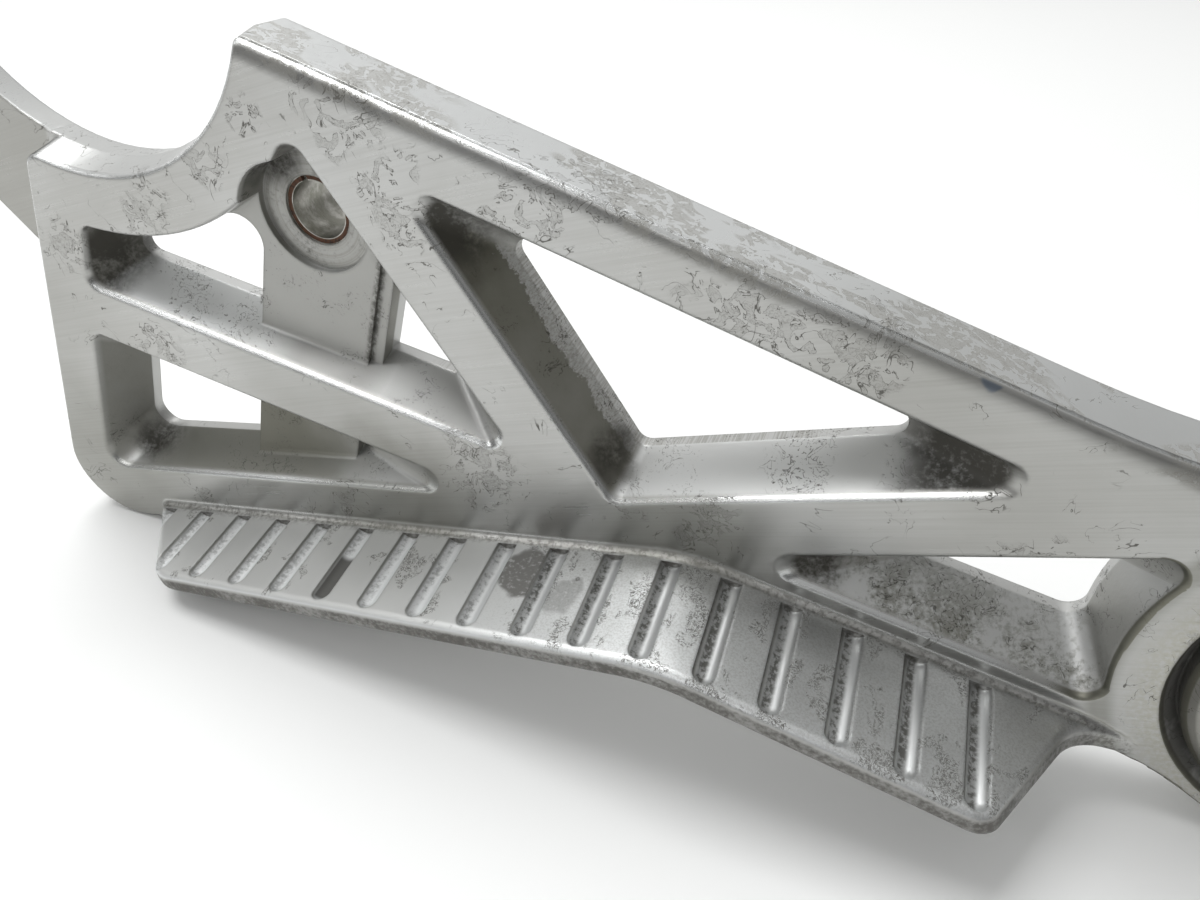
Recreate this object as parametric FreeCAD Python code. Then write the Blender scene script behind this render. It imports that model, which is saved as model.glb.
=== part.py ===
import FreeCAD, Part
import math
import os

V = FreeCAD.Vector

# Plate section, measured from the rear face towards the front
plate_thickness = 10.0
web_thickness = 4.7              # rear layer: strap and arm
web_land = 2.0                   # straight rim of each opening at the rear face
pocket_corner = 2.4
edge_round = 0.7                 # front edges of rails and pockets
stand_angle = 18.2               # lower rail above the ground line when stood up

# Outer edges: a point on each, and its direction with the plate on the left
top_point = (47.41, -6.13)
top_angle = 145.3
left_point = (-61.66, -9.45)
left_angle = 234.7
heel_round = 10.8                # lower left corner
horn_round = 2.6
tip_round = 1.4

# Round bite out of the top left
bite_center = (-20.77, 44.46)
bite_front = 33.1
bite_parting = 31.9
bite_rear = 32.4

# Rails and struts of the truss
left_rail = 8.3
top_rail = 8.7
bite_rail = 9.05
middle_strut = 9.1
diagonal_strut = 9.15
lower_rail = 9.4
heel_rail = 7.75                 # between the lower left pocket and the tread
tread_rail = 2.7                 # between the right pocket and the tread
middle_point = (-15.13, -19.82)
middle_angle = -29.2
diagonal_point = (11.82, -9.12)
diagonal_angle = 105.7
lower_height = -47.78            # upper side of the lower rail
heel_corner = 3.3                # lower left pocket, at the heel
lobe_side_corner = 2.7           # right pocket, beside the round end

# Openings at the rear face, inset from the pocket rims because the walls lean in
web_inset = 4.5
web_inset_tread = 6.5            # above the tread
web_inset_rail = 2.6             # below the lower rail
web_inset_lobe = 3.2             # beside the round end
web_corner = 2.0
strap_corner = 4.0               # opening corner between bite rail and strap
strap_foot = 0.9                 # strap's face into the leaning walls

# Strap across the left pockets and the fixing boss on it
strap_width = 18.7
strap_offset = 1.65               # strap's middle to the right of the boss axis
strap_angle = 55.5
strap_rise = 0.7                 # strap's face in front of the ledge beside it
strap_ledge = 2.0                # along the strap's right side
spotface_diameter = 17.5
spotface_sink = 0.3
boss_height = 6.0                # behind the plate's rear face
boss_diameter = 20.0
sleeve_outer = 10.1
sleeve_bore = 8.4
sleeve_slit = 1.0
sleeve_recess = 0.4              # below the spotface and the rear boss face

# Arm to the upper left, in the rear layer
arm_lower_point = (-60.42, 10.38)
arm_lower_angle = -66.0
arm_upper_point = (-43.87, 23.13)
arm_upper_angle = 126.0
arm_end_radius = 9.2
arm_bore = 8.4

# Tread: ribbed ledge along the lower edge
root_point = (-48.67, -46.87)
root_angle = -6.5
bend_point = (63.73, -69.47)
bend_angle = -29.5
bend_round = 30.0
tread_thickness = 3.9
tread_drop = 5.2                 # degrees the tread falls towards its outer edge
tread_left = -62.6
tread_right = 91.1
tread_left_slant = 0.78          # sideways run of each end per unit of depth
tread_right_slant = 0.49
tread_depth = 18.5               # at the boss axis
tread_widening = 0.033
tread_left_round = 6.5
tread_right_round = 3.6
tread_edge_round = 1.3
tread_root_fillet = 1.3
tread_overlap = 3.0              # how far the tread runs into the plate
gusset_reach = 7.0               # right end of the tread along the plate
gusset_rise = 1.6
gusset_round = 9.0
groove_count = 17
groove_first = 4.05              # from the left end of the tread along its root
groove_pitch = 9.0
groove_radius = 1.75
groove_depth = 1.15
groove_start = 1.5               # square end at the root fillet
groove_rim = 0.9                 # from the groove's end to the outer edge

# Round end on the right with its raised seat in a scooped ring
lobe_center = (126.33, -83.07)
seat_radius = 23.8
scoop_width = 2.4
lobe_rim = 1.8                   # flat ring outside the scoop
lobe_rail = 4.2                  # between the round end and the right pocket
lobe_top_blend = 120.0
lobe_low_blend = 40.0
scoop_depth = 3.0
seat_height = 1.0                # above the plate's front face
seat_bevel = 1.6
seat_dish_radius = 19.5
seat_dish_depth = 2.0
seat_bore = 12.4

scoop_radius = seat_radius + scoop_width
lobe_radius = scoop_radius + lobe_rim
lobe_window = lobe_radius + lobe_rail
front = -plate_thickness
web_front = -web_thickness
far = 400.0


def heading(angle):
    turn = math.radians(angle)
    return V(math.cos(turn), 0, math.sin(turn))


def inward(angle):
    turn = math.radians(angle)
    return V(-math.sin(turn), 0, math.cos(turn))


def edge_line(point, angle):
    return V(point[0], 0, point[1]), angle


def moved(line, distance):
    return line[0] + inward(line[1]) * distance, line[1]


def turned_back(line):
    return line[0], line[1] + 180.0


def meet(first, second):
    across = inward(second[1])
    run = (second[0] - first[0]).dot(across) / heading(first[1]).dot(across)
    return first[0] + heading(first[1]) * run


def at_depth(shape, y):
    return shape.translated(V(0, y, 0))


def polygon(points):
    return Part.Face(Part.makePolygon(list(points) + [points[0]]))


def bounded(lines):
    return polygon([meet(lines[i - 1], lines[i]) for i in range(len(lines))])


def disc(center, radius, y=0.0):
    circle = Part.Circle(V(center[0], y, center[1]), V(0, 1, 0), radius)
    return Part.Face(Part.Wire(circle.toShape()))


def rod(center, radius, low, high):
    return Part.makeCylinder(radius, high - low, V(center[0], low, center[1]), V(0, 1, 0))


def cone(center, low_radius, high_radius, low, high):
    return Part.makeCone(low_radius, high_radius, high - low, V(center[0], low, center[1]), V(0, 1, 0))


def is_upright(edge):
    ends = [vertex.Point for vertex in edge.Vertexes]
    if len(ends) < 2:
        return False
    run = ends[1] - ends[0]
    return abs(run.x) + abs(run.z) < 1e-6 * abs(run.y)


def lies_at(edge, y):
    box = edge.BoundBox
    return abs(box.YMin - y) < 1e-4 and abs(box.YMax - y) < 1e-4


def near(edge, point):
    middle = edge.BoundBox.Center
    return math.hypot(middle.x - point.x, middle.z - point.z)


def rounded(face, radius, special=()):
    # Rounds every corner of a flat outline; special gives some corners their own radius
    block = face.extrude(V(0, 1, 0))
    corners = [edge for edge in block.Edges if is_upright(edge)]
    for target, own_radius in special:
        chosen = min(corners, key=lambda edge: near(edge, target))
        places = [edge.BoundBox.Center for edge in corners if not edge.isSame(chosen)]
        block = block.makeFillet(own_radius, [chosen])
        corners = [edge for edge in block.Edges if is_upright(edge)
                   and any(near(edge, place) < 1e-6 for place in places)]
    block = block.makeFillet(radius, corners)
    base = [side for side in block.Faces if abs(side.BoundBox.YMax) < 1e-6]
    return base[0]


def pocket(rim, opening):
    # The walls lean in from the rim to the opening, which ends in a straight rim
    lean = Part.makeLoft([at_depth(rim.OuterWire, front), at_depth(opening.OuterWire, -web_land)], True, True)
    return lean.fuse(at_depth(opening, -web_land).extrude(V(0, web_land, 0))).removeSplitter()


# Straight edges of the plate and of the four pockets
top_edge = edge_line(top_point, top_angle)
left_edge = edge_line(left_point, left_angle)
root_edge = edge_line(root_point, root_angle)
bend_edge = edge_line(bend_point, bend_angle)
middle_edge = edge_line(middle_point, middle_angle)
diagonal_edge = edge_line(diagonal_point, diagonal_angle)
lower_edge = edge_line((0.0, lower_height), 0.0)
end_edge = edge_line(lobe_center, 90.0)
heel_edge = moved(root_edge, -tread_thickness)
under_edge = moved(bend_edge, -tread_thickness)
strap_middle = moved(edge_line((0.0, 0.0), strap_angle), -strap_offset)
strap_right = moved(strap_middle, -strap_width / 2)
strap_left = moved(turned_back(strap_middle), -strap_width / 2)

upper_left_lines = [moved(left_edge, left_rail), middle_edge, diagonal_edge]
lower_left_lines = [moved(left_edge, left_rail), moved(root_edge, heel_rail),
                    moved(turned_back(middle_edge), middle_strut)]
center_lines = [lower_edge, moved(top_edge, top_rail), moved(turned_back(diagonal_edge), diagonal_strut)]
right_lines = [moved(bend_edge, tread_rail), end_edge, moved(turned_back(lower_edge), lower_rail)]


def inset(lines, distance):
    return [moved(line, distance) for line in lines]


def upper_left(distance):
    return bounded(inset(upper_left_lines, distance)).cut(disc(bite_center, bite_front + bite_rail)).Faces[0]


def right_pocket(low_distance, side_distance, top_distance):
    lines = [moved(right_lines[0], low_distance), right_lines[1], moved(right_lines[2], top_distance)]
    return bounded(lines).cut(disc(lobe_center, lobe_window + side_distance)).Faces[0]


def beside_lobe(face, radius):
    # The two corners of the right pocket next to the round end
    spots = sorted((vertex.Point for vertex in face.Vertexes), key=lambda spot: spot.x)
    return [(spot, radius) for spot in spots[-2:]]


def corner_edge(body, target):
    corners = [edge for edge in body.Edges if edge.BoundBox.YLength > web_thickness / 2]
    return min(corners, key=lambda edge: near(edge, target))


def lobe_corner(line, side):
    # Where a straight edge of the plate runs into the round end
    center = V(lobe_center[0], 0, lobe_center[1])
    height = (center - line[0]).dot(inward(line[1]))
    reach = math.sqrt(lobe_radius ** 2 - height ** 2)
    return center - inward(line[1]) * height + heading(line[1]) * reach * side


def build_layer(low, high):
    body = at_depth(bounded([heel_edge, under_edge, end_edge, top_edge, left_edge]), low)
    body = body.extrude(V(0, high - low, 0))
    body = body.fuse(rod(lobe_center, lobe_radius, low, high)).removeSplitter()
    for target, radius in ((meet(left_edge, heel_edge), heel_round),
                           (meet(heel_edge, under_edge), bend_round - tread_thickness),
                           (lobe_corner(under_edge, -1.0), lobe_low_blend),
                           (lobe_corner(top_edge, 1.0), lobe_top_blend)):
        body = body.makeFillet(radius, [corner_edge(body, target)])
    return body


def bite_corner(line, radius, side):
    center = V(bite_center[0], 0, bite_center[1])
    height = (center - line[0]).dot(inward(line[1]))
    reach = math.sqrt(radius ** 2 - height ** 2)
    return center - inward(line[1]) * height + heading(line[1]) * reach * side


def build_arm():
    upper = edge_line(arm_upper_point, arm_upper_angle)
    lower = edge_line(arm_lower_point, arm_lower_angle)
    root = moved(left_edge, left_rail)
    end = meet(moved(upper, arm_end_radius), moved(lower, arm_end_radius))
    blade = polygon([meet(lower, root), meet(upper, root),
                     end - inward(arm_upper_angle) * arm_end_radius,
                     end - inward(arm_lower_angle) * arm_end_radius])
    blade = at_depth(blade, web_front).extrude(V(0, web_thickness, 0))
    head = rod((end.x, end.z), arm_end_radius, web_front, 0.0)
    hole = rod((end.x, end.z), arm_bore / 2, front, far)
    return blade.fuse(head).removeSplitter(), hole


def build_frame():
    # Front layer with the rails, rear layer with webs, strap and arm
    front_layer = build_layer(front, web_front)
    front_layer = front_layer.cut(cone(bite_center, bite_front, bite_parting, front, web_front))
    horn = bite_corner(left_edge, bite_front, 1.0)
    tip = bite_corner(top_edge, bite_front, -1.0)
    front_layer = front_layer.makeFillet(horn_round, [corner_edge(front_layer, horn)])
    front_layer = front_layer.makeFillet(tip_round, [corner_edge(front_layer, tip)])

    arm, arm_hole = build_arm()
    rear_layer = build_layer(web_front, 0.0).fuse(arm).removeSplitter()
    rear_layer = rear_layer.cut(cone(bite_center, bite_parting, bite_rear, web_front, 0.0))
    rear_layer = rear_layer.makeFillet(tip_round, [corner_edge(rear_layer, tip)])
    return front_layer.fuse(rear_layer).removeSplitter().cut(arm_hole)


def cut_pockets(body):
    heel_rim = bounded(lower_left_lines)
    heel_opening = bounded(inset(lower_left_lines, web_inset))
    heel = [(meet(lower_left_lines[0], lower_left_lines[1]), heel_corner)]
    window_rim = right_pocket(0.0, 0.0, 0.0)
    window_opening = right_pocket(web_inset_tread, web_inset_lobe, web_inset_rail)
    plugs = [
        pocket(rounded(upper_left(0.0), pocket_corner), rounded(upper_left(web_inset), web_corner)),
        pocket(rounded(heel_rim, pocket_corner, heel), rounded(heel_opening, web_corner, heel)),
        pocket(rounded(bounded(center_lines), pocket_corner),
               rounded(bounded(inset(center_lines, web_inset)), web_corner)),
        pocket(rounded(window_rim, pocket_corner, beside_lobe(window_rim, lobe_side_corner)),
               rounded(window_opening, web_corner, beside_lobe(window_opening, lobe_side_corner)))]
    body = body.cut(plugs)
    rims = [edge for edge in body.Edges if lies_at(edge, front)]
    return body.makeFillet(edge_round, rims), plugs[:2]


def crosses_strap(edge):
    course = edge.tangentAt(edge.FirstParameter)
    across = abs(course.dot(inward(strap_angle)))
    return edge.Length > strap_width and across > abs(course.dot(heading(strap_angle)))


def add_strap(body, plugs):
    # Flat bar across both left pockets, with a lower ledge on its right in the upper one
    face_level = web_front - strap_rise
    depth = V(0, -face_level, 0)
    strap_ends = [edge_line((-far, -far), strap_angle - 90.0), edge_line((far, far), strap_angle + 90.0)]
    strap = bounded([strap_left, strap_ends[0], strap_right, strap_ends[1]])
    ledge = bounded([turned_back(strap_middle), strap_ends[0], moved(strap_right, -strap_ledge), strap_ends[1]])
    left_opening = min(upper_left(web_inset).cut(strap).Faces, key=lambda face: face.CenterOfMass.x)
    strap_top = max((vertex.Point for vertex in left_opening.Vertexes), key=lambda spot: spot.x)
    soft_opening = rounded(left_opening, web_corner, [(strap_top, strap_corner)])
    corner = min(left_opening.cut(soft_opening).Faces, key=lambda face: (face.CenterOfMass - strap_top).Length)

    bar = at_depth(strap, face_level).extrude(depth)
    pieces = [bar.common(plug) for plug in plugs]
    pieces.append(at_depth(ledge, web_front).extrude(V(0, web_thickness, 0)).common(plugs[0]))
    pieces.append(at_depth(corner, face_level).extrude(depth))
    body = body.fuse(pieces).removeSplitter()
    feet = [edge for edge in body.Edges if lies_at(edge, face_level) and crosses_strap(edge)]
    return body.makeFillet(strap_foot, feet)


def build_lobe(body):
    floor = front + scoop_depth
    body = body.cut(cone(lobe_center, scoop_radius, seat_radius, front, floor))
    seat = rod(lobe_center, seat_radius, front - seat_height, floor)
    rim = [edge for edge in seat.Edges if lies_at(edge, front - seat_height)]
    seat = seat.makeChamfer(seat_bevel, rim)
    body = body.fuse(seat).removeSplitter()
    dish = rod(lobe_center, seat_dish_radius, front - seat_height, front - seat_height + seat_dish_depth)
    return body.cut([dish, rod(lobe_center, seat_bore / 2, -far, far)])


def root_path(offset):
    # Tread root, moved down by an offset: straight, round bend, straight
    radius = bend_round - offset
    corner = meet(moved(root_edge, -offset), moved(bend_edge, -offset))
    tangent = radius * math.tan(math.radians(root_angle - bend_angle) / 2)
    bend_start = corner - heading(root_angle) * tangent
    bend_end = corner + heading(bend_angle) * tangent
    center = bend_start - inward(root_angle) * radius
    return bend_start, center, bend_end, radius


def path_edges(offset):
    bend_start, center, bend_end, radius = root_path(offset)
    start = bend_start - heading(root_angle) * far
    end = bend_end + heading(bend_angle) * far
    middle = center + inward((root_angle + bend_angle) / 2) * radius
    return [Part.makeLine(start, bend_start), Part.Arc(bend_start, middle, bend_end).toShape(),
            Part.makeLine(bend_end, end)], start, end


def outer_depth(x):
    return tread_depth + tread_widening * x


def build_tread():
    top, top_start, top_end = path_edges(0.0)
    under, under_start, under_end = path_edges(tread_thickness)
    ends = [Part.makeLine(top_start, under_start), Part.makeLine(top_end, under_end)]
    section = Part.Face(Part.Wire(Part.__sortEdges__(top + under + ends)))
    fall = math.tan(math.radians(tread_drop))
    reach = outer_depth(tread_right)
    section.translate(V(0, front + tread_overlap, tread_overlap * fall))
    slab = section.extrude(V(0, -tread_overlap - reach, -(tread_overlap + reach) * fall))

    left_reach = (tread_depth + tread_widening * tread_left) / (1 - tread_widening * tread_left_slant)
    right_reach = (tread_depth + tread_widening * tread_right) / (1 + tread_widening * tread_right_slant)
    plan = [(tread_left - tread_left_slant * tread_overlap, -tread_overlap),
            (tread_left + tread_left_slant * left_reach, left_reach),
            (tread_right - tread_right_slant * right_reach, right_reach),
            (tread_right - tread_right_slant * gusset_rise, gusset_rise),
            (tread_right + gusset_reach, 0.0),
            (tread_right + gusset_reach, -tread_overlap)]
    block = polygon([V(x, front - depth, -far) for x, depth in plan]).extrude(V(0, 0, 2 * far))
    for corner, radius in ((1, tread_left_round), (2, tread_right_round), (3, gusset_round)):
        uprights = [edge for edge in block.Edges if edge.BoundBox.ZLength > far]
        target = V(plan[corner][0], front - plan[corner][1], 0)
        chosen = min(uprights, key=lambda edge: (edge.BoundBox.Center - target).Length)
        block = block.makeFillet(radius, [chosen])
    tread = slab.common(block).removeSplitter()
    rims = [edge for edge in tread.Edges
            if edge.BoundBox.YMin < front - gusset_rise and edge.BoundBox.XLength > 0.1]
    return tread.makeFillet(tread_edge_round, rims)


def root_station(run):
    # Point and slope of the tread root at a run from the tread's left end
    bend_start, center, bend_end, radius = root_path(0.0)
    straight = (bend_start.x - tread_left) / math.cos(math.radians(root_angle))
    turn = math.degrees((run - straight) / radius)
    if turn <= 0:
        return bend_start + heading(root_angle) * (run - straight), root_angle
    if turn >= root_angle - bend_angle:
        rest = run - straight - radius * math.radians(root_angle - bend_angle)
        return bend_end + heading(bend_angle) * rest, bend_angle
    return center + inward(root_angle - turn) * radius, root_angle - turn


def groove(index):
    point, slope = root_station(groove_first + index * groove_pitch)
    fall = math.tan(math.radians(tread_drop))
    lift = inward(slope) * (groove_radius - groove_depth)
    length = outer_depth(point.x) - groove_rim - groove_radius
    start = point + lift + V(0, front - groove_start, -groove_start * fall)
    end = point + lift + V(0, front - length, -length * fall)
    cutter = Part.makeCylinder(groove_radius, (end - start).Length, start, end - start)
    return cutter.fuse(Part.makeSphere(groove_radius, end))


def add_tread(body):
    body = body.fuse(build_tread()).removeSplitter()
    bend_start, center, bend_end, radius = root_path(0.0)
    roots = []
    for edge in body.Edges:
        if lies_at(edge, front):
            middle = edge.valueAt((edge.FirstParameter + edge.LastParameter) / 2)
            offsets = [abs((middle - line[0]).dot(inward(line[1]))) for line in (root_edge, bend_edge)]
            offsets.append(abs(math.hypot(middle.x - center.x, middle.z - center.z) - radius))
            if min(offsets) < 1e-3:
                roots.append(edge)
    body = body.makeFillet(tread_root_fillet, roots)
    return body.cut([groove(index) for index in range(groove_count)])


def build_casting():
    body, plugs = cut_pockets(build_frame())
    body = add_strap(body, plugs)
    axis = (0.0, 0.0)
    body = body.fuse(rod(axis, boss_diameter / 2, web_front, boss_height)).removeSplitter()
    spotface = rod(axis, spotface_diameter / 2, -far, web_front + spotface_sink)
    body = body.cut([spotface, rod(axis, sleeve_outer / 2, -far, far)])
    return add_tread(build_lobe(body))


def build_sleeve():
    low = web_front + spotface_sink + sleeve_recess
    high = boss_height - sleeve_recess
    tube = rod((0.0, 0.0), sleeve_outer / 2, low, high).cut(rod((0.0, 0.0), sleeve_bore / 2, low, high))
    slit = Part.makeBox(sleeve_slit, high - low, sleeve_outer, V(-sleeve_slit / 2, low, 0))
    return tube.cut(slit)


os.makedirs("parts", exist_ok=True)
for name, piece in (("footrest_plate", build_casting()), ("bore_sleeve", build_sleeve())):
    piece.rotate(V(0, 0, 0), V(0, -1, 0), stand_angle)
    piece.exportStep("parts/" + name + ".step")
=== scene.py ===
import math
import bmesh
import bpy
from mathutils import Matrix, Vector


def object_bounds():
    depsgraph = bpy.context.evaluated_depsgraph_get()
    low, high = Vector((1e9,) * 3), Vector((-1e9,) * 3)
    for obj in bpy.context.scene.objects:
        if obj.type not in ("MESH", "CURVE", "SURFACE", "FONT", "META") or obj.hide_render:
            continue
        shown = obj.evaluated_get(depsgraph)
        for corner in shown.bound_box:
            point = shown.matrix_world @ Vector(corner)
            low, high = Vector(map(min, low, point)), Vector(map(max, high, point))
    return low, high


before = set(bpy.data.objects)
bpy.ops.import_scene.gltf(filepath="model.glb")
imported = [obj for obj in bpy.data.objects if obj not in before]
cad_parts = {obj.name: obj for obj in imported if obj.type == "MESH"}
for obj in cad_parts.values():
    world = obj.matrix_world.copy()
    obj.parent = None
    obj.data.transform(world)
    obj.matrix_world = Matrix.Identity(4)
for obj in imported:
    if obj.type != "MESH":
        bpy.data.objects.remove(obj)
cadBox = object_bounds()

print("frame loaded:", sorted(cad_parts))


class Wire:
    # a node socket that works in plain arithmetic
    def __init__(self, tree, socket=None):
        self.tree = tree
        self.socket = socket

    def node(self, kind, settings=None, out=0, **sockets):
        # n0, n1 and so on name an input by its number, other keys by its label
        made = self.tree.nodes.new(kind)
        for key, value in (settings or {}).items():
            setattr(made, key, value)
        for key, value in sockets.items():
            name = key.replace("_", " ")
            target = made.inputs[int(name[1:])] if name[1:].isdigit() else made.inputs[name]
            if isinstance(value, Wire):
                self.tree.links.new(value.socket, target)
            elif target.type == "RGBA" and len(value) == 3:
                target.default_value = (*value, 1.0)
            else:
                target.default_value = value
        return Wire(self.tree, made.outputs[out] if made.outputs else None)

    def math(self, operation, first, second=0.0, third=0.0):
        return self.node("ShaderNodeMath", {"operation": operation}, n0=first, n1=second, n2=third)

    def __add__(self, other): return self.math("ADD", self, other)
    def __radd__(self, other): return self.math("ADD", other, self)
    def __sub__(self, other): return self.math("SUBTRACT", self, other)
    def __rsub__(self, other): return self.math("SUBTRACT", other, self)
    def __mul__(self, other): return self.math("MULTIPLY", self, other)
    def __rmul__(self, other): return self.math("MULTIPLY", other, self)
    def __pow__(self, other): return self.math("POWER", self, other)
    def __abs__(self): return self.math("ABSOLUTE", self)

    def least(self, other): return self.math("MINIMUM", self, other)
    def most(self, other): return self.math("MAXIMUM", self, other)

    def step(self, low, high):
        # soft 0 to 1 from low to high, falling when low is the larger
        return self.node("ShaderNodeMapRange", {"interpolation_type": "SMOOTHSTEP"},
                         Value=self, From_Min=low, From_Max=high)

    def band(self, begin, rise, fall, end):
        # 1 between rise and fall, 0 outside begin and end
        return self.step(begin, rise) * self.step(end, fall)

    def noise(self, scale, detail=2.0, rough=0.5, warp=0.0):
        return self.node("ShaderNodeTexNoise", Vector=self, Scale=scale, Detail=detail,
                         Roughness=rough, Distortion=warp)

    def stretched(self, x, y, z, angle=0.0):
        # pattern coordinates turned in the plate's plane, then drawn out along each axis
        return self.node("ShaderNodeMapping", {"vector_type": "TEXTURE"}, Vector=self,
                         Rotation=(0, math.radians(-angle), 0), Scale=(x, y, z))

    def warped(self, amount, scale):
        # the same place pushed about by a slow noise
        push = self.node("ShaderNodeTexNoise", out=1, Vector=self, Scale=scale, Detail=2.0)
        push = self.node("ShaderNodeVectorMath", {"operation": "MULTIPLY_ADD"}, n0=push,
                         n1=(amount, amount, amount), n2=(-amount / 2, -amount / 2, -amount / 2))
        return self.node("ShaderNodeVectorMath", {"operation": "ADD"}, n0=self, n1=push)

    def mixed(self, factor, first, second):
        return self.node("ShaderNodeMix", {"data_type": "RGBA"}, out=2, n0=factor, n6=first, n7=second)

    def tint(self, factor, color):
        # this colour going over to another one by a factor
        return self.mixed(factor, self, color)

    def parts(self, *axes):
        return [self.node("ShaderNodeSeparateXYZ", out=axis, Vector=self) for axis in axes]

    def blob(self, place, inner, outer):
        # 1 within the inner radius of a place, 0 beyond the outer one
        gap = self.node("ShaderNodeVectorMath", {"operation": "DISTANCE"}, out=1, n0=self, n1=place)
        return gap.step(outer, inner)

    def blobs(self, places):
        return strongest(*(self.blob(*place) for place in places))


def strongest(first, *others):
    for other in others:
        first = first.most(other)
    return first


def newMaterial(name):
    material = bpy.data.materials.new(name)
    material.use_nodes = True
    tree = material.node_tree
    tree.nodes.clear()
    return material, Wire(tree)


def surface(start, color, rough, metal, normal):
    return start.node("ShaderNodeBsdfPrincipled", Base_Color=color, Roughness=rough,
                      Metallic=metal, Normal=normal)


def blended(start, factor, first, second):
    return start.node("ShaderNodeMixShader", n0=factor, n1=first, n2=second)


def finishMaterial(start, shader):
    start.node("ShaderNodeOutputMaterial", Surface=shader)


# places and lengths are in mm in the plate's own axes: along, to the rear, up
plateLook = {
    "standAngle": 18.2,             # degrees between those axes and the ground
    "clean": (0.452, 0.450, 0.434),
    "worn": (0.522, 0.524, 0.514),
    # pale colour, for wear and for painted light on faces that look up
    "polishedAndPaintedLight": (0.80, 0.82, 0.825),
    "cast": (0.40, 0.398, 0.38),
    "thread": (0.10, 0.096, 0.084),
    "lace": (0.27, 0.262, 0.235),
    "dirt": (0.042, 0.039, 0.031),
    # dark olive, used for painted shade and for dirt in the right window
    "mossAndPaintedShade": (0.115, 0.112, 0.078),
    "stain": (0.10, 0.095, 0.085),
    "residue": (0.34, 0.315, 0.20),
    "paint": (0.06, 0.11, 0.19),
    "brushedRough": 0.30,
    "softEdge": 0.0006,             # radius of the softened edges, in metres
    # straight edges: a point, and the way that is measured from it
    "topEdge": ((47.41, -6.13), (-0.5693, -0.8221)),
    "leftEdge": ((-61.66, -9.45), (0.8161, -0.5779)),
    "treadRoot": ((-48.67, -46.87), (0.1132, 0.9936)),
    "bentRoot": ((63.73, -69.47), (0.4924, 0.8704)),
    "strapEdge": ((13.35, 0.0), (-0.824, 0.566)),
    # round features
    "boreCenter": (0.0, 0.0),
    "biteCenter": (-20.77, 44.46),
    "biteRadius": 32.4,
    "lobeCenter": (126.33, -83.07),
    "frontDepth": -10.0,
    "treadSlope": 0.0905,           # fall of the tread for each mm ahead of the plate
    "topLine": 145.3,               # angle of the top edge
    "packedGroove": -13.9,
    # marks: place, inner and outer radius
    "clusters": [
        ((15.2, -10.0, 14.7), 4.0, 9.0), ((57.0, -10.0, -21.5), 4.0, 12.0),
        ((69.7, -10.0, -27.7), 4.0, 12.0), ((41.8, -10.0, -3.0), 4.0, 9.0),
        ((12.7, -10.0, -40.9), 4.0, 12.0), ((85.7, -10.0, -51.4), 3.0, 10.0),
        ((-44.0, -10.0, 4.0), 3.0, 8.0), ((-40.4, -10.0, -15.5), 3.0, 9.0),
        ((47.0, -10.0, -54.0), 3.0, 9.0), ((-8.0, -10.0, 11.5), 3.0, 8.0),
        ((-23.0, -10.0, 6.0), 3.0, 9.0), ((0.3, -10.0, 15.9), 2.0, 6.0),
        ((17.5, -10.0, -2.0), 2.0, 8.0), ((33.0, -10.0, -4.0), 2.0, 6.0)],
    "caked": [
        ((-44.5, -6.0, 1.5), 5.0, 11.0), ((33.0, -5.5, -42.0), 1.5, 6.0),
        ((-60.0, -5.0, -34.5), 1.5, 7.0), ((18.0, -7.0, -3.5), 5.0, 13.0),
        ((-3.0, -6.0, 9.5), 2.0, 7.0), ((83.0, -5.5, -46.0), 6.0, 15.0),
        ((57.0, -6.0, -61.0), 3.0, 9.0)],
    # patches of dull finish that also paint shade on the front, then patches of painted shade only
    "dullAndPaintedShade": [
        ((40.0, -10.0, -54.8), 6.0, 17.0), ((-67.0, -10.0, -34.0), 4.0, 34.0),
        ((-8.0, -10.0, -46.0), 8.0, 22.0)],
    "shaded": [
        ((95.0, -10.0, -54.0), 8.0, 32.0), ((-59.0, -10.0, -8.0), 6.0, 22.0),
        ((76.0, -10.0, -33.0), 6.0, 22.0), ((-12.8, -10.0, -22.8), 5.0, 18.0)],
    "paintSpot": ((83.6, -10.0, -31.4), 0.9, 1.5),
    "biteWindow": ((-32.0, -6.0, -8.0), 8.0, 20.0),
    "heelWindow": ((-38.0, -7.0, -39.0), 14.0, 34.0),
    "underStrap": ((-8.0, -6.5, -22.5), 5.0, 13.0),
    "besideStrap": ((7.0, -6.5, -35.0), 4.0, 22.0),
    "shornWall": ((31.0, -1.5, -26.0), 17.0, 20.0),
    "shearedRim": ((36.0, -1.5, -30.0), 26.0, 32.0),
    "darkStain": ((18.6, -17.3, -55.3), 3.4, 4.6),
    "paleStain": ((26.3, -20.0, -56.3), 2.9, 3.9),
}


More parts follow.
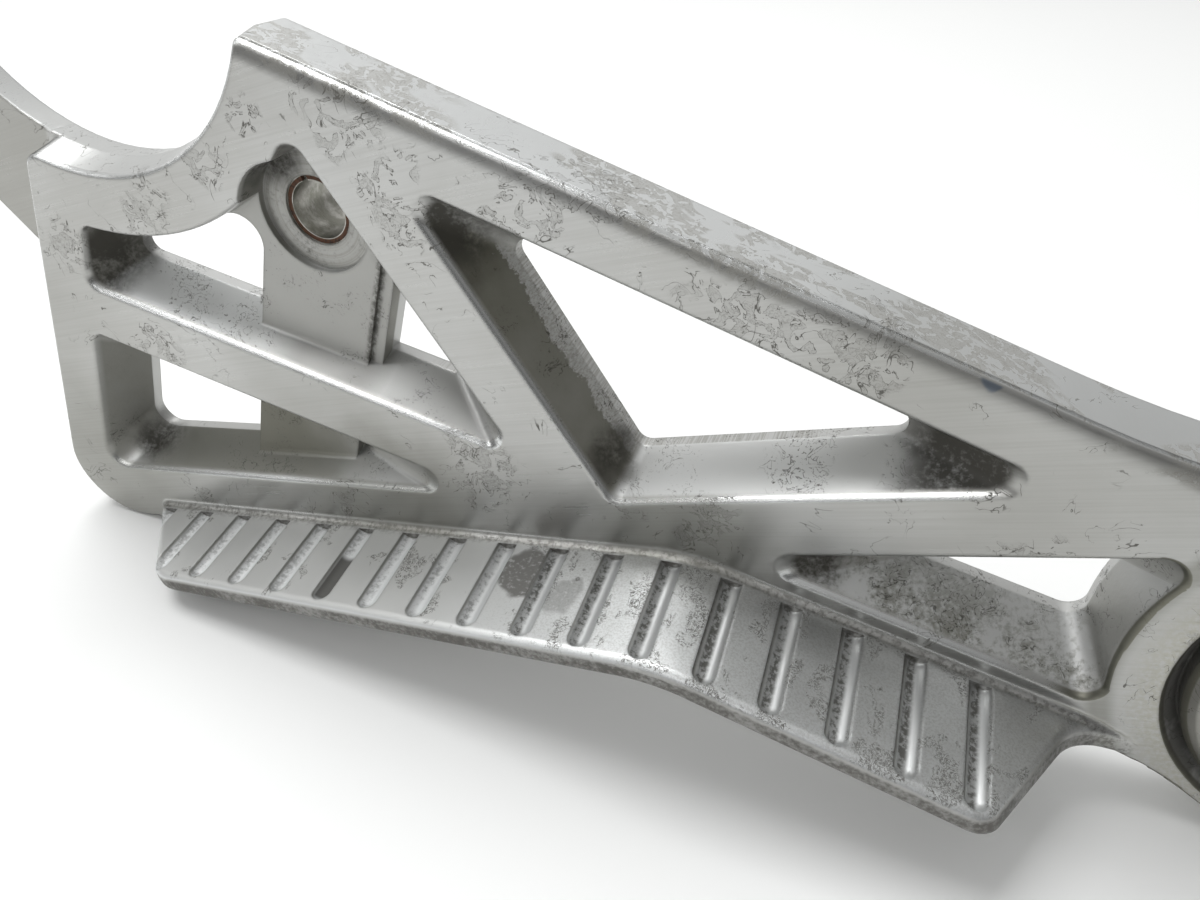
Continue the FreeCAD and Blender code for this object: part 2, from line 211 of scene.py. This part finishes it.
def plateMetal(look):
    material, start = newMaterial("wornAluminium")
    lean = (0, math.radians(-look["standAngle"]), 0)
    coords = start.node("ShaderNodeTexCoord", out=3)
    facing = start.node("ShaderNodeTexCoord", out=1)
    spot = start.node("ShaderNodeMapping", {"vector_type": "TEXTURE"}, Vector=coords,
                      Rotation=lean, Scale=(0.001, 0.001, 0.001))
    turned = start.node("ShaderNodeMapping", {"vector_type": "TEXTURE"}, Vector=facing, Rotation=lean)
    u, depth, w = spot.parts(0, 1, 2)
    sideways, outward, upward = turned.parts(0, 1, 2)

    def fromLine(line):
        point, way = line
        return (u - point[0]) * way[0] + (w - point[1]) * way[1]

    def fromCenter(center):
        return ((u - center[0]) ** 2.0 + (w - center[1]) ** 2.0) ** 0.5

    # distances from the plate's edges, inwards, and from the round features
    fromTop = fromLine(look["topEdge"])
    fromLeft = fromLine(look["leftEdge"])
    fromBite = fromCenter(look["biteCenter"]) - look["biteRadius"]
    inside = fromTop.least(fromLeft).least(fromBite)
    lobeRadius = fromCenter(look["lobeCenter"])
    height = start.math("SMOOTH_MAX", fromLine(look["treadRoot"]), fromLine(look["bentRoot"]), 3.0)
    ahead = look["frontDepth"] - depth
    overTread = height + ahead * look["treadSlope"]

    # the three parts of the casting: pocket walls, tread, and all the rest
    inPocket = inside.step(1.2, 3.0) * depth.step(-9.5, -8.6) * height.step(-2.0, 0.5)
    inPocket = inPocket * lobeRadius.step(27.5, 29.0) * outward.step(0.95, 0.8)
    tread = ahead.step(0.9, 1.6) * overTread.step(2.2, 1.2)

    # unevenness that they share
    castGrain = spot.noise(1.4, 4.0, 0.65)
    broad = spot.noise(0.035, 3.0, 0.55)
    patchy = spot.noise(0.12, 4.0, 0.6)
    swell = spot.noise(0.055, 1.0, 0.5) * 0.12
    astray = spot.warped(7.0, 0.16)
    field = spot.noise(0.36, 3.0, 0.56, 1.3)
    outline = abs(field - 0.52).step(0.014, 0.005)
    base = start.mixed(broad.step(0.3, 0.7), look["clean"], look["worn"])
    evenRough = look["brushedRough"] + (patchy - 0.5) * 0.12
    rootDirt = ahead.band(0.05, 0.4, 0.6, 2.6) * overTread.step(3.0, 0.6) * castGrain.step(0.42, 0.62)
    softened = start.node("ShaderNodeBevel", {"samples": 3}, Radius=look["softEdge"])

    def bumped(lift):
        # lift is in mm
        return start.node("ShaderNodeBump", Strength=1.0, Distance=0.001, Height=lift, Normal=softened)

    def brushedShader():
        # front and outer faces: brushing along the plate, rims lightened by wear and a painted highlight,
        # painted light on the top face and the bite wall, painted shade in patches, threads of corrosion
        front = outward.step(-0.75, -0.97) * depth.step(-9.0, -9.7)
        notRear = depth.step(-1.0, -3.0)
        rim = depth.band(-10.2, -10.0, -9.4, -9.1) * abs(outward).step(0.985, 0.94)
        lobeEdge = lobeRadius.step(40.0, 36.0) * notRear
        lobeBand = front * lobeRadius.band(30.5, 32.5, 33.5, 35.5)
        lobeShade = (rim * 0.8).most(lobeBand * 0.4) * lobeEdge
        rim = rim * upward.step(0.0, 0.3) * (1.0 - lobeEdge) * u.step(86.0, 80.0)
        topFace = fromTop.step(0.9, 0.2) * abs(outward).step(0.8, 0.5)
        biteWall = fromBite.step(1.4, 0.5) * abs(outward).step(0.5, 0.2)
        armFace = fromLeft.step(-0.3, -1.2) * outward.step(-0.7, -0.95)
        seat = lobeRadius.step(24.2, 23.4) * notRear
        brushing = spot.stretched(22.0, 1.5, 0.30).noise(1.0, 4.0, 0.6)
        scratches = spot.stretched(9.0, 1.0, 0.13).noise(1.0, 2.0, 0.5)

        # outlines of small patches, and a few longer lines
        cluster = spot.noise(0.07, 3.0, 0.6) * 0.8 + astray.blobs(look["clusters"]) * 0.18
        zone = cluster.step(0.50, 0.55)
        wander = spot.noise(0.13, 3.5, 0.6, 1.2)
        longThreads = abs(wander - 0.5).step(0.006, 0.002) * spot.noise(0.2).step(0.50, 0.55)
        fineLine = abs(spot.noise(0.9, 2.0, 0.6, 1.6) - 0.5).step(0.05, 0.015)
        corroded = (outline * zone).most(longThreads * cluster.step(0.36, 0.42))
        speckled = (fineLine * 0.7 + 0.3) * field.step(0.51, 0.54) * zone

        # lacy patches over the top face and its front edge
        laceZone = spot.stretched(1.6, 1.0, 1.0, look["topLine"]).noise(0.075, 3.0, 0.65, 0.5)
        laceZone = (laceZone + topFace * (0.03 + u.step(55.0, 75.0) * 0.025)).step(0.50, 0.54)
        laceZone = laceZone * fromTop.step(2.6, 1.2) * u.step(114.0, 106.0)
        laceField = spot.noise(0.62, 4.0, 0.62, 0.8)
        laceFill = laceField.step(0.48, 0.51)
        laceLine = abs(laceField - 0.49).step(0.022, 0.008)
        lace = laceZone * strongest(laceFill * 0.6, fineLine * laceFill, laceLine)

        # painted shade: front patches are darkened towards dark olive, and the dull ones are also made rougher
        dullAndPaintedShade = (astray.blobs(look["dullAndPaintedShade"]) * 0.42).most(spot.blobs(look["shaded"]) * 0.14)
        scoopDirt = lobeRadius.band(22.6, 23.8, 25.6, 26.6) * depth.step(-10.4, -9.6)
        scoopDirt = scoopDirt * patchy.step(0.3, 0.5) * notRear * 0.8
        residue = lobeRadius.band(25.4, 26.4, 26.5, 32.0) * castGrain.step(0.35, 0.6) * notRear

        color = base.tint(brushing.step(0.35, 0.75) * 0.13, look["lace"])
        # painted light: the top face, the upward-facing front rims and the bite wall are lightened towards a
        # pale colour; on the rims this is also wear
        color = color.tint(strongest(topFace * 0.75, rim * 0.6, biteWall * 0.4), look["polishedAndPaintedLight"])
        color = color.tint((armFace * 0.5).most(seat * 0.8), look["lace"])
        color = color.tint(dullAndPaintedShade, look["mossAndPaintedShade"])
        color = color.tint(lace * 0.75, look["lace"])
        color = color.tint(residue * 0.35, look["residue"])
        color = color.tint((corroded * 0.88).most(speckled * 0.36), look["thread"])
        color = color.tint(lobeShade, look["mossAndPaintedShade"])
        color = color.tint(rootDirt * 0.6, look["stain"])
        color = color.tint(scoopDirt, look["dirt"])
        color = color.tint(astray.blob(*look["paintSpot"]) * front * 0.6, look["paint"])
        foul = strongest(corroded, lace * 0.45, scoopDirt)
        rough = evenRough + (brushing - 0.5) * 0.16 + foul * 0.3 + dullAndPaintedShade * 0.24 - rim * 0.13
        roll = (3.2 - fromTop).most(0.0) ** 2.0 * -0.075 * depth.step(-9.0, -9.7)
        lift = brushing * 0.010 + scratches * 0.004 + swell + roll
        return surface(start, color, rough, 1.0 - foul * 0.8, bumped(lift))

    def pocketShader():
        # as-cast leaning walls, the strap and the spot face, with dirt in the corners, painted shade on the
        # side walls and in the heel window, painted light on the upward walls and a painted reflection of the
        # strap
        wallUp = upward.step(0.35, 0.75)
        wallSide = sideways.step(0.35, 0.75)
        land = abs(outward).step(0.35, 0.15) * depth.step(-2.5, -2.0)
        boreRadius = fromCenter(look["boreCenter"])
        spotFace = boreRadius.step(8.9, 8.6) * outward.step(-0.8, -0.95) * depth.step(-5.2, -4.9)
        rightSide = u.step(45.0, 55.0)
        nearBite = spot.blob(*look["biteWindow"])
        dirtier = rightSide.most(nearBite)

        speck = spot.noise(2.2, 3.0, 0.6).step(0.60, 0.68) * patchy.step(0.45, 0.6) * (0.6 + dirtier * 0.3)
        grime = astray.blobs(look["caked"]) * (castGrain * 0.6 + patchy * 0.9).step(0.35, 0.85)
        grime = strongest(grime, speck, outline * (patchy + dirtier * 0.07).step(0.52, 0.60) * 0.75)
        # painted shade: walls facing sideways are darkened, more on the right of the plate and higher up
        shade = u.step(5.0, 12.0) * (0.74 + w.step(-30.0, -8.0) * 0.22) + u.step(12.0, 5.0) * 0.5
        darkSide = wallSide * (1.0 - land) * shade * (patchy * 0.5 + 0.72).least(1.0)
        # painted shade in the heel window
        heelWindowShade = astray.blob(*look["heelWindow"]) * 0.72
        windowDirt = rightSide * height.step(14.0, 3.0) * (patchy + castGrain * 0.7).step(0.74, 1.0)
        # painted reflection of the strap on the upward walls under and beside it
        strapMirror = spot.blob(*look["underStrap"]).most(spot.blob(*look["besideStrap"]) * 0.62) * wallUp
        strapDirt = abs(fromLine(look["strapEdge"])).step(1.0, 0.2) * depth.step(-4.0, -4.6)
        strapDirt = strapDirt * upward.step(0.5, 0.2) * height.step(12.0, 16.0)
        strapDirt = strapDirt * (castGrain + patchy * 0.5).step(0.55, 0.9)
        ringDirt = spotFace * (castGrain * 0.7 + patchy * 0.6).step(0.60, 0.85)

        # tool marks: turned rings on the spot face, shear marks across the trimmed rims
        rings = start.node("ShaderNodeCombineXYZ", n0=boreRadius).noise(1.7, 3.0, 0.7)
        shorn = wallSide * spot.blob(*look["shornWall"])
        shorn = (shorn * (depth + patchy * 4.0 + castGrain * 2.5).step(-0.6, -0.2)).most(land)
        shearMarks = spot.stretched(0.24, 7.0, 0.24).noise(1.0, 2.0, 0.6).step(0.42, 0.60)
        shearMarks = shearMarks * shorn * spot.blob(*look["shearedRim"])

        # painted light: walls facing up keep less of the darker cast colour and are lightened, more so near the
        # bite window
        color = base.tint(0.85 - wallUp * 0.6, look["cast"])
        color = color.tint(wallUp * (0.42 + nearBite * 0.3), look["polishedAndPaintedLight"])
        color = color.tint(strongest(darkSide * 0.9, heelWindowShade, windowDirt * 0.7), look["mossAndPaintedShade"])
        # the strap's painted reflection, darkened with the stain colour
        color = color.tint(strapMirror * 0.6, look["stain"])
        color = color.tint(shorn * 0.8, look["worn"])
        color = color.tint((shearMarks * 0.55).most(spotFace * rings.step(0.44, 0.58) * 0.4), look["lace"])
        color = color.tint(strongest(grime, strapDirt * 0.7, ringDirt * 0.4).least(0.95), look["dirt"])
        foul = strongest(grime, darkSide * 0.75, windowDirt * 0.5).least(1.0)
        rough = evenRough + foul * 0.3 + 0.2 - wallUp * 0.15
        duller = wallUp * (0.36 + nearBite * 0.2) * (1.0 - strapMirror)
        metal = 1.0 - foul * 0.8 - (1.0 - foul) * duller
        return surface(start, color, rough, metal, bumped(castGrain * (0.035 - wallUp * 0.022) + swell))

    def treadShader():
        # ribbed tread: bright bars, groove walls darkened on one side by painted shade and dirt, painted shade
        # on the outer edge, worm-like pits and stains
        top = upward.step(0.3, 0.6)
        groove = top * overTread.step(-0.12, -0.6)
        bars = top * (1.0 - groove)
        rightward = u.step(-5.0, 35.0)
        leftward = 1.0 - rightward
        # painted shade on the tread's outer edge where it faces down, with dirt specks in it
        outerRim = (castGrain * 0.7 + patchy * 0.6).step(0.50, 0.78) * 0.45 + 0.52
        outerRim = upward.step(0.45, 0.0) * outerRim
        crusted = rightward * 0.6 + (castGrain + patchy * 0.6).step(0.72, 0.95) * 0.4 + 0.15
        # painted shade with dirt: groove walls facing right are darkened, in patches and more on the right
        grooveShadeAndDirt = groove * sideways.step(0.05, 0.5) * (castGrain * 0.7 + 0.6).least(1.0) * crusted.least(1.0)
        packed = groove * abs(u - look["packedGroove"]).step(2.2, 1.3) * depth.band(-26.6, -25.6, -18.0, -16.5)
        rootShade = bars * ahead.step(11.0, 2.0) * rightward * (patchy * 0.8 + 0.3).least(1.0)
        wormZone = spot.stretched(1.0, 1.5, 1.0).noise(0.21, 3.0, 0.6, 0.4) + rightward * 0.06
        worm = abs(spot.noise(0.95, 3.0, 0.65, 1.8) - 0.5).step(0.055, 0.015) * 0.95 + 0.05
        worm = bars * wormZone.step(0.57, 0.62) * worm
        stain = astray.blob(*look["darkStain"]).most(astray.blob(*look["paleStain"]) * 0.55)
        stain = stain * bars * (castGrain + 0.2).step(0.35, 0.7)
        salt = bars * spot.noise(3.2, 3.0, 0.7).step(0.40, 0.65)

        color = base.tint(top * 0.9, look["polishedAndPaintedLight"])
        color = color.tint((salt * 0.3).most(bars * leftward * 0.40), look["lace"])
        # the outer edge's painted shade, in the stain colour
        color = color.tint(outerRim, look["stain"])
        # rootShade is painted shade on the bars near the root; the others are stains, dirt and pits
        color = color.tint(strongest(stain * 0.85, rootDirt * 0.6, rootShade * 0.55, worm * 0.9), look["stain"])
        color = color.tint((grooveShadeAndDirt * 0.92).most(packed * 0.9), look["dirt"])
        foul = strongest(grooveShadeAndDirt, packed, stain * 0.7, worm * 0.6, outerRim * 0.6)
        rough = evenRough + foul * 0.3 + top * u.step(60.0, 25.0) * 0.10
        duller = bars * (0.16 + leftward * 0.26) + groove * (0.16 + leftward * 0.44)
        metal = 1.0 - foul * 0.8 - (1.0 - foul) * duller
        return surface(start, color, rough, metal, bumped(patchy * 0.06 + swell))

    body = blended(start, inPocket, brushedShader(), pocketShader())
    finishMaterial(start, blended(start, tread, body, treadShader()))
    return material


sleeveLook = {
    "steel": (0.50, 0.49, 0.46),
    "rust": (0.11, 0.05, 0.028),
    "soot": (0.035, 0.026, 0.02),
    "film": (0.25, 0.247, 0.215),
    "rustRing": (0.00422, 0.0044, 0.00485, 0.00502),    # radii in metres
}


def sleeveMetal(look):
    material, start = newMaterial("rustySleeve")
    coords = start.node("ShaderNodeTexCoord", out=3)
    across, depth, above = coords.parts(0, 1, 2)
    rustPatch = coords.noise(300.0, 4.0, 0.6)
    fleck = coords.noise(1500.0, 3.0, 0.7)
    radius = (across ** 2.0 + above ** 2.0) ** 0.5
    ring = radius.band(*look["rustRing"]) * depth.step(-0.003, -0.0036)
    rusty = (rustPatch * 0.8 + ring * 0.5).step(0.58, 0.72)
    color = start.mixed(rustPatch.step(0.35, 0.6), look["steel"], look["film"])
    color = color.tint(rusty, look["rust"])
    color = color.tint(fleck.step(0.48, 0.62) * rusty * 0.85, look["soot"])
    bump = start.node("ShaderNodeBump", Strength=0.5, Distance=0.00015, Height=fleck + rustPatch)
    finishMaterial(start, surface(start, color, 0.34 + rusty * 0.45, 1.0 - rusty * 0.85, bump))
    return material


def dress(nodeName, material):
    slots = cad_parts[nodeName].material_slots
    for slot in slots:
        slot.link = "OBJECT"
        slot.material = material
    print("dressed", nodeName, len(slots))


dress("footrest_plate", plateMetal(plateLook))
dress("bore_sleeve", sleeveMetal(sleeveLook))


studio = {
    "floorHeight": cadBox[0][2] - 0.0001,    # just clear of the part
    "floorColor": (0.92, 0.928, 0.925),
    "floorRough": 0.55,
    "floorReach": 6.0,
    "worldLevel": 0.77,
    "aim": (0.05, 0.0, -0.03),
    # lamps: place, size and power
    "overhead": ((-0.31, 0.17, 0.98), (0.75, 0.55), 8.4),
    "frontTop": ((-0.34, -0.74, 0.62), (1.5, 0.14), 1.8),
    # camera solved from the photograph
    "lens": 27.0,
    "viewPlace": (0.0786, -0.10206, 0.0501),
    "viewAxes": ((0.9360, 0.3520, 0.0009), (-0.2159, 0.5718, 0.7915), (0.2781, -0.7410, 0.6112)),
}


def linked(name, data):
    thing = bpy.data.objects.new(name, data)
    bpy.context.scene.collection.objects.link(thing)
    return thing


def addFloor(look):
    mesh = bpy.data.meshes.new("tableTop")
    flat = bmesh.new()
    bmesh.ops.create_grid(flat, x_segments=1, y_segments=1, size=look["floorReach"],
                          matrix=Matrix.Translation((0.0, 0.0, look["floorHeight"])))
    flat.to_mesh(mesh)
    flat.free()
    material, start = newMaterial("paleTable")
    finishMaterial(start, start.node("ShaderNodeBsdfPrincipled", Base_Color=look["floorColor"],
                                     Roughness=look["floorRough"]))
    mesh.materials.append(material)
    floor = linked("tableTop", mesh)


def addLamp(look, name):
    place, size, power = look[name]
    data = bpy.data.lights.new(name, "AREA")
    data.shape = "RECTANGLE"
    data.size, data.size_y = size
    data.energy = power
    lamp = linked(name, data)
    lamp.location = place
    lamp.rotation_euler = (Vector(look["aim"]) - Vector(place)).to_track_quat("-Z", "Y").to_euler()


def addWorld(look):
    # pale room, brighter behind and to the left, darker to the right and low in front
    world = bpy.data.worlds.new("softRoom")
    world.use_nodes = True
    world.node_tree.nodes.clear()
    start = Wire(world.node_tree)
    across, along, above = start.node("ShaderNodeTexCoord").parts(0, 1, 2)
    level = 0.86 + along.step(0.15, 0.6) * 0.12
    level = level - across.step(0.05, 0.65) * 0.36 + across.step(-0.15, -0.7) * 0.08
    level = level - along.step(0.15, -0.55) * (0.16 + above.step(0.70, 0.25) * 0.44)
    level = level.most(0.22)
    room = start.node("ShaderNodeCombineColor", n0=level, n1=level, n2=level * 0.99)
    sky = start.node("ShaderNodeBackground", Color=room, Strength=look["worldLevel"])
    start.node("ShaderNodeOutputWorld", Surface=sky)
    bpy.context.scene.world = world


def addCamera(look):
    data = bpy.data.cameras.new("photoView")
    data.lens = look["lens"]
    data.sensor_width = 36.0
    data.clip_start = 0.005
    camera = linked("photoView", data)
    turn = Matrix(look["viewAxes"]).transposed().to_4x4()    # right, up and back
    camera.matrix_world = Matrix.Translation(look["viewPlace"]) @ turn
    bpy.context.scene.camera = camera


addFloor(studio)
addWorld(studio)
addLamp(studio, "overhead")
addLamp(studio, "frontTop")
addCamera(studio)
bpy.context.scene.view_settings.view_transform = "Standard"
print("studio ready")
